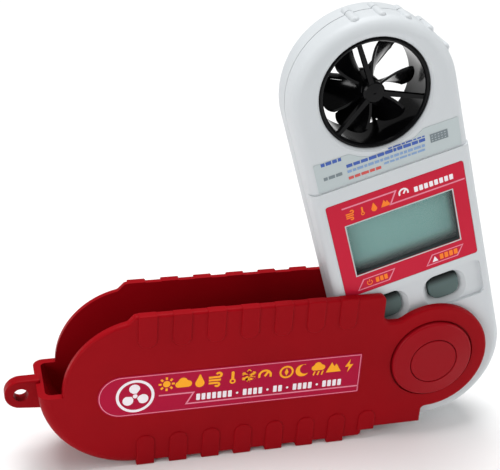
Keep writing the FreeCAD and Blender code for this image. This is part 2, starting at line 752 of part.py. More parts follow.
# ---------------------------------------------------------------- wind wheel cartridge
def cartridge_half(side):
    """Half of the black duct liner: a ring with a three-armed spider and a bearing boss."""
    out = CARTRIDGE_FACE_Y
    outline = [
        (CARTRIDGE_BORE, 0), (CARTRIDGE_R, 0), (CARTRIDGE_R, out - 0.5), (CARTRIDGE_R - 0.25, out - 0.1),
        (CARTRIDGE_R - 0.6, out), (CARTRIDGE_BORE + 0.25, out - 0.15), (CARTRIDGE_BORE, out - 0.6),
    ]
    pieces = [turned([(r, side * y) for r, y in outline])]
    low = min(side * ARM_Y, side * ARM_OUT_Y)
    high = max(side * ARM_Y, side * ARM_OUT_Y)
    for i in range(3):
        tip = CARTRIDGE_BORE + 0.3
        arm = prism([(-0.7, 0, 0), (0.7, 0, 0), (0.5, tip, 0), (-0.5, tip, 0)], low, high)
        arm.rotate(Vector(0, 0, 0), Y_AXIS, ARM_TURN + 120 * i + (0 if side < 0 else 60))
        pieces.append(arm)
    boss = [(0, ARM_Y), (2.9, ARM_Y), (2.9, ARM_OUT_Y - 0.3), (2.5, ARM_OUT_Y + 0.1), (0, ARM_OUT_Y + 0.2)]
    pieces.append(turned([(r, side * y) for r, y in boss]))
    shape = union(pieces)
    shape.translate(Vector(0, 0, HEAD_A))
    pocket = disc(0, HEAD_A, 1.2, -5.3, -ARM_Y + 1) if side < 0 else disc(0, HEAD_A, 1.2, ARM_Y - 1, 5.3)
    return shape.cut(pocket)


def bearing(side):
    """Jewel cup pressed into a spider's boss."""
    low, high = (-5.3, -ARM_Y) if side < 0 else (ARM_Y, 5.3)
    cup = disc(0, HEAD_A, 1.2, low, high)
    reach = disc(0, HEAD_A, SHAFT_R + 0.05, -5.0, 5.0)
    return cup.cut(reach)


def blade():
    """One twisted blade, lofted through curved radial strips from front to rear."""
    strips = []
    for share, tip in ((-1.0, 0.86), (-0.6, 0.98), (0.0, 1.0), (0.6, 0.98), (1.0, 0.86)):
        y = share * (WHEEL_HALF - 0.1)
        angle = share * BLADE_TWIST / 2
        half = BLADE_HALF_T - 0.2 * abs(share)
        reach = WHEEL_R * tip
        root = WHEEL_HUB_R - 0.4
        middle = (root + reach) / 2
        right = Part.Arc(Vector(half, y, root), Vector(BLADE_BOW + half, y, middle), Vector(half, y, reach))
        tip_line = Part.LineSegment(Vector(half, y, reach), Vector(-half, y, reach))
        left = Part.Arc(Vector(-half, y, reach), Vector(BLADE_BOW - half, y, middle), Vector(-half, y, root))
        root_line = Part.LineSegment(Vector(-half, y, root), Vector(half, y, root))
        strip = Part.Wire([edge.toShape() for edge in (right, tip_line, left, root_line)])
        strip.rotate(Vector(0, 0, 0), Y_AXIS, angle)
        strips.append(strip)
    return Part.makeLoft(strips, True, False)


def impeller_rotor():
    hub_outline = [
        (0, -WHEEL_HALF), (1.9, -WHEEL_HALF), (2.7, -WHEEL_HALF + 0.3), (WHEEL_HUB_R, -WHEEL_HALF + 0.9),
        (WHEEL_HUB_R, WHEEL_HALF), (0, WHEEL_HALF),
    ]
    pieces = [turned(hub_outline)]
    for i in range(BLADES):
        piece = blade()
        piece.rotate(Vector(0, 0, 0), Y_AXIS, BLADE_START + 360 / BLADES * i)
        pieces.append(piece)
    wheel = union(pieces)
    wheel.translate(Vector(0, 0, HEAD_A))
    return wheel.cut(disc(0, HEAD_A, SHAFT_R, -9, 9))


def impeller_shaft():
    return disc(0, HEAD_A, SHAFT_R, -4.9, 4.9)


def impeller_magnet():
    return ring(0, HEAD_A, 2.2, SHAFT_R, WHEEL_HALF, WHEEL_HALF + 0.7)


# ---------------------------------------------------------------- buttons, door, bush
def push_button(side):
    """Rubber key: a cap in its well, a flange behind the wall and a stem over its dome."""
    top = -HALF_METER + TRAY_DEPTH + BUTTON_SUNK
    flange_y = BOSS_BACK_Y + 0.1
    x0, x1, z0, z1 = button_outline(side, 0)
    cap = plate(x0, x1, z0, z1, top, flange_y, 3.0)
    cap = round_edges(cap, 0.6, lambda edge: on_plane(edge, top))
    flange = plate(x0 - 0.8, x1 + 0.8, z0 - 0.8, z1 + 0.8, flange_y, flange_y + 0.7, 3.4)
    stem_end = BOARD_Y - DOME_RISE - BUTTON_TRAVEL - 0.1
    stem = disc(side * BUTTON_L, BUTTON_A, 1.6, flange_y + 0.7, stem_end)
    return union([cap, flange, stem])


def battery_door():
    """Coin-slot door with two lugs that pass under the shell's lip."""
    cap = turned([
        (0, 6.25), (DOOR_R, 6.25), (DOOR_R, HALF_METER - 0.3), (DOOR_R - 0.25, HALF_METER - 0.05),
        (0, HALF_METER - 0.05),
    ], 0, DOOR_A)
    plug = turned([
        (0, 4.9), (11.1, 4.9), (11.1, 5.4), (10.5, 5.4), (10.5, 6.0), (11.1, 6.0), (11.1, 6.25),
        (0, 6.25),
    ], 0, DOOR_A)
    pieces = [cap, plug]
    for i in range(2):
        lug = plate(-2.2, 2.2, 9, DOOR_R + 0.3, 4.7, 5.2, 0.4)
        lug.rotate(Vector(0, 0, 0), Y_AXIS, 180 * i + 90)
        lug.translate(Vector(0, 0, DOOR_A))
        pieces.append(lug)
    shape = union(pieces)
    slot = plate(-8, 8, DOOR_A - 0.9, DOOR_A + 0.9, HALF_METER - 0.75, 20, 0.88)
    return shape.cut(slot)


def door_seal():
    """Flat ring of rubber in the door's groove."""
    return ring(0, DOOR_A, 11.2, 10.5, 5.45, 5.95)


def pivot_bush():
    """Slippery sleeve in the instrument that turns on the hubs' barrel."""
    y = HALF_METER - WASHER_POCKET_DEPTH
    return ring(0, 0, BUSH_R, HUB_BARREL_R + HUB_RUN, -y, y)


# ---------------------------------------------------------------- assembly
meter_body = hollow_meter()

SHEATH_NODES = {
    "sheath_shell": sheath_shell(),
    "sheath_label": sheath_label(),
    "pivot_hub_front": pivot_hub_front(),
    "pivot_hub_rear": pivot_hub_rear(),
    "pivot_plug_front": hub_plug(-1),
    "pivot_plug_rear": hub_plug(1),
    "pivot_screw": pivot_screw(),
    "pivot_nut": pivot_nut(),
    "friction_washers": friction_washers(),
}
METER_NODES = {
    "meter_front_shell": meter_front_shell(meter_body),
    "meter_rear_shell": meter_rear_shell(meter_body),
    "shell_gasket": shell_gasket(),
    "shell_screws": shell_screws(),
    "pivot_bush": pivot_bush(),
    "bezel_label": bezel_label(),
    "head_label": head_label(),
    "window_lens": window_lens(),
    "lcd_panel": lcd_panel(),
    "lcd_reflector": lcd_reflector(),
    "zebra_strips": zebra_strips(),
    "main_board": main_board(),
    "board_parts": board_parts(),
    "pressure_sensor": pressure_sensor(),
    "humidity_sensor": humidity_sensor(),
    "thermistor": thermistor(),
    "hall_sensor": hall_sensor(),
    "dome_switches": dome_switches(),
    "coin_cell": coin_cell(),
    "cell_contact_minus": cell_contact_minus(),
    "cell_contact_plus": cell_contact_plus(),
    "battery_door": battery_door(),
    "door_seal": door_seal(),
    "power_button": push_button(-1),
    "mode_button": push_button(1),
    "cartridge_front": cartridge_half(-1),
    "cartridge_rear": cartridge_half(1),
    "bearing_front": bearing(-1),
    "bearing_rear": bearing(1),
    "impeller_rotor": impeller_rotor(),
    "impeller_shaft": impeller_shaft(),
    "impeller_magnet": impeller_magnet(),
}

left_x = EYELET_X - EYELET_R
right_x = METER_R
to_origin = Vector(-(left_x + right_x) / 2, 0, -RIB_Z)
lean = Placement(to_origin, Rotation(Y_AXIS, -REST_LEAN))
upright = Placement(to_origin, Rotation())

os.makedirs("parts", exist_ok=True)
for nodes, place in ((SHEATH_NODES, upright), (METER_NODES, lean)):
    for name, shape in nodes.items():
        shape.Placement = place.multiply(shape.Placement)
        shape.exportStep("parts/" + name + ".step")
        box = shape.BoundBox
        print(name, shape.isValid(), len(shape.Solids), round(shape.Volume, 1),
              [round(v, 2) for v in (box.XMin, box.XMax, box.YMin, box.YMax, box.ZMin, box.ZMax)])
print("pivot at", to_origin)
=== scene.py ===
import json
import math
import random

import bpy
from mathutils import Matrix, Vector


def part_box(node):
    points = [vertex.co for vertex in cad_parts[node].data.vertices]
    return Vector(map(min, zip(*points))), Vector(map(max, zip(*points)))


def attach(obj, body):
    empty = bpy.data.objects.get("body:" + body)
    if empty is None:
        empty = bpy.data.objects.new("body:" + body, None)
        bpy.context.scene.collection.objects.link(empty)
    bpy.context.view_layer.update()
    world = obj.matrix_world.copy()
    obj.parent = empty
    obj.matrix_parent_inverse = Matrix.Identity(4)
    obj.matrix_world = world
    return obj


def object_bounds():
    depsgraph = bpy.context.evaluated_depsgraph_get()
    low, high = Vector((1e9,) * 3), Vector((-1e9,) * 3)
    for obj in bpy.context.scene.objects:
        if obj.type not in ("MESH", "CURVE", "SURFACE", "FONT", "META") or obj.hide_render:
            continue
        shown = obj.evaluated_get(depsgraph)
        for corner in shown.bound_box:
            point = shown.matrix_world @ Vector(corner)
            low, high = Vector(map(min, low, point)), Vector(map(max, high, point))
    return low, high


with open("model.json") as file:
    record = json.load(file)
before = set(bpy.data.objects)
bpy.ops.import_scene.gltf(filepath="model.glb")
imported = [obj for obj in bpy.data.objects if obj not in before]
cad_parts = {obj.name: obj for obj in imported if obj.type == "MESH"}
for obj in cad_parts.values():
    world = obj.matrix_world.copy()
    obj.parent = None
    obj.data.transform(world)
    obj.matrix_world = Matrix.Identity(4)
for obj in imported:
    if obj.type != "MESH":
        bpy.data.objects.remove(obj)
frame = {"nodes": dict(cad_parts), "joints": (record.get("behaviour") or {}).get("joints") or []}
cad_low, cad_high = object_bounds()

# ---------------------------------------------------------------- places, from the frame
MM = 0.001
joints = {joint["name"]: joint for joint in frame["joints"]}
pivot = Vector(joints["meter_swing"]["pos_m"])
wheel = Vector(joints["impeller_spin"]["pos_m"])
up = (wheel - pivot).normalized()
across = Vector((up.z, 0, -up.x))
OUT = Vector((0, -1, 0))


def face_frame(x_axis, y_axis, y_level):
    """Matrix from millimetres on a front face, about the pivot, to the row frame."""
    place = Matrix.Identity(4)
    for column, axis in enumerate((x_axis, y_axis, OUT)):
        place.col[column][:3] = axis * MM
    place.translation = Vector((pivot.x, y_level, pivot.z))
    return place


# prints lie this far above their face, and are this thick, in millimetres
PRINT_LIFT = 0.01
PRINT_THICKNESS = 0.03
RULE_WIDTH = 0.42

# the display window in the bezel label, millimetres from the pivot
WINDOW_HALF = 15.3
WINDOW_LOW = 34.3
WINDOW_HIGH = 50.4
# upper edge of the two keys, millimetres from the pivot
KEY_TOP = 23.85

SHEATH_FACE = face_frame(Vector((1, 0, 0)), Vector((0, 0, 1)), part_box("sheath_label")[0].y)
BEZEL_FACE = face_frame(across, up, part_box("bezel_label")[0].y)


# ---------------------------------------------------------------- materials
def principled(name, colour, roughness, **sockets):
    """New material with constant values set on the shader's own sockets."""
    made = bpy.data.materials.new(name)
    made.use_nodes = True
    shader = made.node_tree.nodes["Principled BSDF"]
    shader.inputs["Base Color"].default_value = (*colour, 1)
    shader.inputs["Roughness"].default_value = roughness
    for socket, value in sockets.items():
        shader.inputs[socket.replace("_", " ")].default_value = value
    return made


def noise(tree, scale, detail=2.0):
    """Noise over the object's own metres."""
    place = tree.nodes.new("ShaderNodeTexCoord")
    field = tree.nodes.new("ShaderNodeTexNoise")
    field.inputs["Scale"].default_value = scale
    field.inputs["Detail"].default_value = detail
    tree.links.new(place.outputs["Object"], field.inputs["Vector"])
    return field.outputs["Fac"]


def ramp(tree, source, low, high, stops):
    """Colour ramp between two positions."""
    node = tree.nodes.new("ShaderNodeValToRGB")
    node.color_ramp.elements[0].position = low
    node.color_ramp.elements[1].position = high
    node.color_ramp.elements[0].color = stops[0]
    node.color_ramp.elements[1].color = stops[1]
    tree.links.new(source, node.inputs["Fac"])
    return node.outputs["Color"]


def shade(colour, factor):
    """Colour made darker or lighter, with full alpha."""
    return (colour[0] * factor, colour[1] * factor, colour[2] * factor, 1)


def moulded(name, colour, roughness, grain_mm, bump, mottle=0.06, rough_spread=0.08, **sockets):
    """Moulded plastic: spark-eroded grain, slight mottling and uneven gloss."""
    made = principled(name, colour, roughness, **sockets)
    tree = made.node_tree
    shader = tree.nodes["Principled BSDF"]
    broad = noise(tree, 45, 3)
    tint = ramp(tree, broad, 0.3, 0.7, (shade(colour, 1 - mottle), shade(colour, 1 + mottle)))
    tree.links.new(tint, shader.inputs["Base Color"])
    spread = tree.nodes.new("ShaderNodeMapRange")
    spread.inputs["To Min"].default_value = roughness - rough_spread
    spread.inputs["To Max"].default_value = roughness + rough_spread
    tree.links.new(noise(tree, 160, 2), spread.inputs["Value"])
    tree.links.new(spread.outputs["Result"], shader.inputs["Roughness"])
    relief = tree.nodes.new("ShaderNodeBump")
    relief.inputs["Strength"].default_value = bump
    relief.inputs["Distance"].default_value = grain_mm * MM * 0.25
    tree.links.new(noise(tree, 1 / (grain_mm * MM), 2), relief.inputs["Height"])
    tree.links.new(relief.outputs["Normal"], shader.inputs["Normal"])
    return made


def brushed(name, colour, roughness, stretch):
    """Metal with fine directional streaks."""
    made = principled(name, colour, roughness, Metallic=1.0)
    tree = made.node_tree
    shader = tree.nodes["Principled BSDF"]
    place = tree.nodes.new("ShaderNodeTexCoord")
    pull = tree.nodes.new("ShaderNodeMapping")
    pull.inputs["Scale"].default_value = stretch
    field = tree.nodes.new("ShaderNodeTexNoise")
    field.inputs["Scale"].default_value = 1
    field.inputs["Detail"].default_value = 4
    tree.links.new(place.outputs["Object"], pull.inputs["Vector"])
    tree.links.new(pull.outputs["Vector"], field.inputs["Vector"])
    spread = tree.nodes.new("ShaderNodeMapRange")
    spread.inputs["To Min"].default_value = roughness - 0.1
    spread.inputs["To Max"].default_value = roughness + 0.12
    tree.links.new(field.outputs["Fac"], spread.inputs["Value"])
    tree.links.new(spread.outputs["Result"], shader.inputs["Roughness"])
    return made


def film(name, colour, roughness, **sockets):
    """Printed polyester film: even colour with a slight ripple in its gloss."""
    return moulded(name, colour, roughness, 2.5, 0.05, 0.03, 0.04, **sockets)


sheath_red = moulded("sheath_red", (0.295, 0.0020, 0.0060), 0.42, 0.35, 0.16, 0.07, Specular_IOR_Level=0.055)
hub_red = moulded("hub_red", (0.305, 0.0025, 0.0080), 0.36, 0.30, 0.10, 0.05, Specular_IOR_Level=0.10)
label_red = film("label_red", (0.42, 0.006, 0.040), 0.30, Specular_IOR_Level=0.07)
bezel_red = film("bezel_red", (0.56, 0.012, 0.040), 0.30, Specular_IOR_Level=0.12)
case_white = moulded("case_white", (0.61, 0.64, 0.66), 0.46, 0.30, 0.14, 0.02, Specular_IOR_Level=0.30)
foil_white = film("foil_white", (0.49, 0.55, 0.56), 0.30, Specular_IOR_Level=0.30)
gloss_black = moulded("gloss_black", (0.0025, 0.0025, 0.003), 0.16, 1.8, 0.04, 0.1, 0.05,
                      Specular_IOR_Level=0.14)
seal_black = moulded("seal_black", (0.02, 0.02, 0.022), 0.7, 0.3, 0.3)
mask_black = moulded("mask_black", (0.045, 0.055, 0.056), 0.55, 0.25, 0.2)
board_green = moulded("board_green", (0.012, 0.12, 0.04), 0.35, 1.2, 0.2, 0.2)
chip_black = moulded("chip_black", (0.015, 0.015, 0.016), 0.5, 0.15, 0.3)
sensor_white = moulded("sensor_white", (0.6, 0.6, 0.56), 0.5, 0.2, 0.2)
zebra_grey = moulded("zebra_grey", (0.2, 0.18, 0.18), 0.6, 0.2, 0.2)
acetal = moulded("acetal", (0.7, 0.7, 0.66), 0.35, 0.4, 0.1)
jewel_red = moulded("jewel_red", (0.35, 0.01, 0.04), 0.12, 0.4, 0.02)
steel = brushed("steel", (0.62, 0.62, 0.60), 0.32, (90, 4000, 4000))
zinc = brushed("zinc", (0.55, 0.56, 0.58), 0.38, (1500, 1500, 200))
brass = brushed("brass", (0.75, 0.52, 0.20), 0.30, (1500, 200, 1500))
tin = brushed("tin", (0.66, 0.66, 0.64), 0.36, (600, 3000, 600))


LCD_GREEN = (0.120, 0.310, 0.285)
KEY_GREEN = (0.095, 0.140, 0.135)


def ink(name, colour):
    """Matt printing ink."""
    return film(name, colour, 0.4, Specular_IOR_Level=0.2)


ink_yellow = ink("ink_yellow", (1.0, 0.42, 0.012))
ink_orange = ink("ink_orange", (0.95, 0.22, 0.02))
ink_white = ink("ink_white", (0.90, 0.84, 0.88))
ink_pink = ink("ink_pink", (0.78, 0.24, 0.34))
ink_blue = ink("ink_blue", (0.06, 0.12, 0.42))
ink_pale_blue = ink("ink_pale_blue", (0.24, 0.36, 0.58))
ink_red = ink("ink_red", (0.62, 0.10, 0.09))
ink_grey = ink("ink_grey", (0.20, 0.24, 0.26))
silver_line = film("silver_line", (0.50, 0.54, 0.54), 0.3)
clear = principled("clear_window", (0.9, 0.96, 0.95), 0.06, Alpha=0.06, Specular_IOR_Level=0.4)


def edge_fade(tree, direction, start, length):
    """Shader value that rises from 0 to 1 along a direction, over a length in metres."""
    place = tree.nodes.new("ShaderNodeTexCoord")
    along = tree.nodes.new("ShaderNodeVectorMath")
    along.operation = "DOT_PRODUCT"
    along.inputs[1].default_value = direction
    tree.links.new(place.outputs["Object"], along.inputs[0])
    fade = tree.nodes.new("ShaderNodeMapRange")
    fade.interpolation_type = "SMOOTHSTEP"
    fade.inputs["From Min"].default_value = start
    fade.inputs["From Max"].default_value = start + length
    tree.links.new(along.outputs["Value"], fade.inputs["Value"])
    return fade.outputs["Result"]


def lcd_material_with_painted_shade():
    """Polarised display glass: grey-green, with painted shade of the window recess darkening it towards its
    lower and right edges.
    """
    made = principled("lcd_grey_green_painted_shade", LCD_GREEN, 0.22, Specular_IOR_Level=0.2)
    tree = made.node_tree
    low, high = lcd_corners()
    from_low = edge_fade(tree, up, up.dot(low) - 0.6 * MM, 4.6 * MM)
    from_right = edge_fade(tree, -across, -across.dot(high) - 0.8 * MM, 2.8 * MM)
    painted_shade_mask = tree.nodes.new("ShaderNodeMath")
    painted_shade_mask.operation = "MULTIPLY"
    tree.links.new(from_low, painted_shade_mask.inputs[0])
    tree.links.new(from_right, painted_shade_mask.inputs[1])
    # painted shade: the glass goes nearly black towards its lower and right edges, standing in for the
    # recess's shadow and reflection
    tint = ramp(tree, painted_shade_mask.outputs["Value"], 0.0, 1.0, ((0.030, 0.042, 0.044, 1), (*LCD_GREEN, 1)))
    tree.links.new(tint, tree.nodes["Principled BSDF"].inputs["Base Color"])
    return made


def key_material_with_painted_shadow():
    """Silicone rubber of the keys: grey-green, with a painted shadow making it nearly black along their upper
    edge.
    """
    made = moulded("key_grey_painted_shadow", KEY_GREEN, 0.60, 0.22, 0.25, 0.10, Specular_IOR_Level=0.25)
    tree = made.node_tree
    fade = edge_fade(tree, -up, -up.dot(pivot) - KEY_TOP * MM + 0.3 * MM, 2.6 * MM)
    # painted shadow: near black along the keys' upper edge, standing in for the shade cast by the upper wall
    # of each key's well
    tint = ramp(tree, fade, 0.0, 1.0, (shade(KEY_GREEN, 0.07), (*KEY_GREEN, 1)))
    tree.links.new(tint, tree.nodes["Principled BSDF"].inputs["Base Color"])
    return made


def lcd_corners():
    """Lower left and upper right corner of the display window on the bezel."""
    low = BEZEL_FACE @ Vector((-WINDOW_HALF, WINDOW_LOW, 0))
    high = BEZEL_FACE @ Vector((WINDOW_HALF, WINDOW_HIGH, 0))
    return low, high


FINISHES = {
    sheath_red: ["sheath_shell"],
    hub_red: ["pivot_hub_front", "pivot_hub_rear", "pivot_plug_front", "pivot_plug_rear"],
    label_red: ["sheath_label"],
    bezel_red: ["bezel_label"],
    case_white: ["meter_front_shell", "meter_rear_shell", "battery_door"],
    foil_white: ["head_label"],
    clear: ["window_lens"],
    lcd_material_with_painted_shade(): ["lcd_panel"],
    key_material_with_painted_shadow(): ["power_button", "mode_button"],
    gloss_black: ["cartridge_front", "cartridge_rear", "impeller_rotor"],
    seal_black: ["shell_gasket", "door_seal"],
    board_green: ["main_board"],
    chip_black: ["board_parts", "hall_sensor", "thermistor"],
    sensor_white: ["humidity_sensor", "lcd_reflector"],
    zebra_grey: ["zebra_strips"],
    acetal: ["pivot_bush"],
    jewel_red: ["bearing_front", "bearing_rear"],
    steel: ["impeller_shaft", "impeller_magnet", "coin_cell"],
    zinc: ["shell_screws", "pivot_screw", "friction_washers"],
    brass: ["pivot_nut"],
    tin: ["pressure_sensor", "cell_contact_minus", "cell_contact_plus", "dome_switches"],
}
for finish, names in FINISHES.items():
    for name in names:
        mesh = frame["nodes"][name].data
        mesh.materials.clear()
        mesh.materials.append(finish)


# ---------------------------------------------------------------- flat shapes, in millimetres
def arc(x, y, radius, start, end, steps=16):
    """Points along an arc, angles in degrees."""
    points = []
    for i in range(steps + 1):
        angle = math.radians(start + (end - start) * i / steps)
        points.append((x + radius * math.cos(angle), y + radius * math.sin(angle)))
    return points


def circle(x, y, radius, steps=28):
    """Points of a full circle."""
    return arc(x, y, radius, 0, 360, steps)[:-1]


def bar(x0, x1, y0, y1, corner=0.0):
    """Rectangle, with round corners if asked."""
    if corner == 0:
        return [(x0, y0), (x1, y0), (x1, y1), (x0, y1)]
    left, right = x0 + corner, x1 - corner
    low, high = y0 + corner, y1 - corner
    return (arc(right, low, corner, -90, 0, 4) + arc(right, high, corner, 0, 90, 4)
            + arc(left, high, corner, 90, 180, 4) + arc(left, low, corner, 180, 270, 4))


def stroke(points, width):
    """Outline of a line of even width through the points."""
    left, right = [], []
    for i, (x, y) in enumerate(points):
        before = Vector(points[max(i - 1, 0)])
        after = Vector(points[min(i + 1, len(points) - 1)])
        here = Vector((x, y))
        first = (here - before).normalized() if i > 0 else (after - here).normalized()
        second = (after - here).normalized() if i < len(points) - 1 else first
        middle = (first + second).normalized()
        normal = Vector((-middle.y, middle.x))
        reach = width / 2 / max(normal.dot(Vector((-first.y, first.x))), 0.45)
        left.append(tuple(here + normal * reach))
        right.append(tuple(here - normal * reach))
    return left + right[::-1]


def moved(loops, x, y, size=1.0):
    """Loops enlarged about their origin and moved to a place."""
    return [[(x + px * size, y + py * size) for px, py in loop] for loop in loops]


def flat_piece(name, loops, place, material, body, lift=PRINT_LIFT, thickness=PRINT_THICKNESS):
    """Thin printed shape lying on a face; a loop inside another is a hole."""
    data = bpy.data.curves.new(name, "CURVE")
    data.dimensions = "2D"
    data.fill_mode = "BOTH"
    data.extrude = thickness / 2
    for loop in loops:
        spline = data.splines.new("POLY")
        spline.points.add(len(loop) - 1)
        for point, (x, y) in zip(spline.points, loop):
            point.co = (x, y, 0, 1)
        spline.use_cyclic_u = True
    source = bpy.data.objects.new(name + "_outline", data)
    bpy.context.scene.collection.objects.link(source)
    bpy.context.view_layer.update()
    mesh = bpy.data.meshes.new_from_object(source)
    bpy.data.objects.remove(source)
    mesh.transform(place @ Matrix.Translation((0, 0, lift + thickness / 2)))
    mesh.materials.clear()
    mesh.materials.append(material)
    mesh.name = name
    piece = bpy.data.objects.new(name, mesh)
    bpy.context.scene.collection.objects.link(piece)
    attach(piece, body)


# ---------------------------------------------------------------- pictograms, one unit high
def ray(degrees, inner, outer, width):
    """Straight stroke that points away from the middle."""
    a = math.radians(degrees)
    ends = [(reach * math.cos(a), reach * math.sin(a)) for reach in (inner, outer)]
    return stroke(ends, width)


def sun():
    return [circle(0, 0, 0.24)] + [ray(45 * i, 0.33, 0.52, 0.14) for i in range(8)]


def cloud():
    return [arc(-0.30, -0.14, 0.22, 270, 110, 12) + arc(-0.02, 0.08, 0.29, 160, 20, 14)
            + arc(0.32, -0.12, 0.24, 80, -90, 12)]


def drop():
    return [arc(0, -0.18, 0.30, -215, 35, 20) + [(0.03, 0.48), (-0.03, 0.48)]]


def wind():
    lines = []
    for y, end, radius in ((0.16, 0.16, 0.16), (-0.06, 0.30, 0.0), (-0.28, 0.06, -0.13)):
        path = [(-0.5, y), (end, y)]
        if radius > 0:
            path += arc(end, y + radius, radius, -80, 160, 12)
        if radius < 0:
            path += arc(end, y + radius, -radius, 80, -160, 12)
        lines.append(stroke(path, 0.15))
    return lines


def thermometer():
    bulb = arc(0, -0.28, 0.20, 118, 422, 18)
    return [bulb + arc(0, 0.38, 0.095, 0, 180, 8), circle(0, -0.28, 0.10, 16)]


def snowflake():
    arms = []
    for i in range(6):
        degrees = 60 * i + 30
        arms.append(ray(degrees, 0.07, 0.5, 0.14))
        for side in (14, -14):
            a = math.radians(degrees) + math.radians(side)
            arms.append(circle(0.40 * math.cos(a), 0.40 * math.sin(a), 0.045, 8))
    return arms


def gauge():
    dial = [arc(0, -0.1, 0.46, -20, 200, 24) + arc(0, -0.1, 0.31, 200, -20, 24)]
    return dial + [stroke([(-0.02, -0.16), (0.18, 0.14)], 0.15)]


def compass():
    return [circle(0, 0, 0.48), circle(0, 0, 0.35), [(0, 0.30), (-0.13, 0), (0, -0.30), (0.13, 0)]]


def moon():
    return [arc(0, 0, 0.46, 60, 330, 24) + arc(0.20, 0.10, 0.38, 295, 95, 20)]


def rain():
    falls = [stroke([(x + 0.06, -0.18), (x - 0.04, -0.48)], 0.10) for x in (-0.26, 0.02, 0.30)]
    return moved(cloud(), 0, 0.20, 0.86) + falls


def mountain():
    return [[(-0.52, -0.36), (-0.14, 0.40), (0.04, 0.08), (0.18, 0.26), (0.52, -0.36)]]


def bolt():
    return [[(0.06, 0.5), (-0.28, -0.06), (-0.02, -0.06), (-0.10, -0.5), (0.28, 0.10), (0.02, 0.10)]]


def power_sign():
    ring = arc(0, -0.04, 0.44, 125, 415, 24) + arc(0, -0.04, 0.31, 415, 125, 24)
    return [ring, bar(-0.06, 0.06, 0.05, 0.5)]


def fan_emblem():
    """Plain three-bladed fan in a ring."""
    blades = []
    for i in range(3):
        turn = math.radians(120 * i + 90)
        outline = [(0.10, -0.05)] + arc(0.27, 0.02, 0.17, -100, 130, 14) + [(0.10, 0.06)]
        blades.append([(x * math.cos(turn) - y * math.sin(turn), x * math.sin(turn) + y * math.cos(turn))
                       for x, y in outline])
    return [circle(0, 0, 0.60, 48), circle(0, 0, 0.51, 48), circle(0, 0, 0.075, 16)] + blades


def filler_rows(x0, x1, y, height, seed, gap=0.35):
    """A row of small blocks of uneven length in place of small print."""
    draw = random.Random(seed)
    blocks = []
    x = x0
    while x < x1 - 0.5:
        length = min(draw.uniform(0.7, 2.2), x1 - x)
        blocks.append(bar(x, x + length, y - height / 2, y + height / 2))
        x += length + gap
    return blocks


# ---------------------------------------------------------------- print on the sheath's label
LABEL_LEFT = -96.4
LABEL_RIGHT = -21.5
LABEL_LOW = -9.1
LABEL_HIGH = 4.1
BORDER_INSET = 0.3
BORDER_WIDTH = 0.22
EMBLEM_X = -86.2
EMBLEM_Y = -2.6
EMBLEM_SIZE = 8.8


def label_border():
    """Thin line around the label, round at its left end."""
    middle = (LABEL_LOW + LABEL_HIGH) / 2
    radius = (LABEL_HIGH - LABEL_LOW) / 2 - BORDER_INSET
    loops = []
    for inset in (0.0, BORDER_WIDTH):
        r = radius - inset
        left = arc(LABEL_LEFT + BORDER_INSET + radius, middle, r, 90, 270, 30)
        right = LABEL_RIGHT - BORDER_INSET - inset
        loops.append(left + [(right, middle - r), (right, middle + r)])
    return loops


def sheath_print():
    """A row of pictograms over a row of blocks, beside an emblem."""
    row = [sun(), cloud(), drop(), wind(), thermometer(), snowflake(), gauge(),
           compass(), moon(), rain(), mountain(), bolt()]
    title = []
    x = -77.6
    pitch, word_gap, words_part_after = 4.62, 1.6, 6
    for i, shape in enumerate(row):
        title += moved(shape, x, 0.35, 4.3)
        x += pitch + (word_gap if i == words_part_after else 0)
    line = [stroke([(-79.7, -3.25), (-70.0, -3.25), (-72.0, -6.85), (-21.9, -6.85)], RULE_WIDTH)]
    small = []
    x = -69.2
    for word in (7, 4, 2, 4, 4):
        for _ in range(word):
            small.append(bar(x, x + 1.05, -6.0, -3.9, 0.2))
            x += 1.5
        small.append(circle(x + 1.1, -4.95, 0.36, 12))
        x += 2.75
    small.pop()  # no dot after the last word
    flat_piece("sheath_print_border", label_border(), SHEATH_FACE, ink_pink, "sheath")
    flat_piece("sheath_print_pictograms", title, SHEATH_FACE, ink_yellow, "sheath")
    flat_piece("sheath_print_line", line, SHEATH_FACE, ink_pink, "sheath")
    flat_piece("sheath_print_blocks", small, SHEATH_FACE, ink_white, "sheath")
    emblem = moved(fan_emblem(), EMBLEM_X, EMBLEM_Y, EMBLEM_SIZE)
    flat_piece("sheath_print_emblem", emblem, SHEATH_FACE, ink_white, "sheath")


# ---------------------------------------------------------------- print on the bezel and head
SILVER_WIDTH = 0.32
LINER_WIDTH = 0.27


def window_edge(grow, corner=0.0):
    """Outline of the display window, grown outwards."""
    return bar(-WINDOW_HALF - grow, WINDOW_HALF + grow, WINDOW_LOW - grow, WINDOW_HIGH + grow, corner)


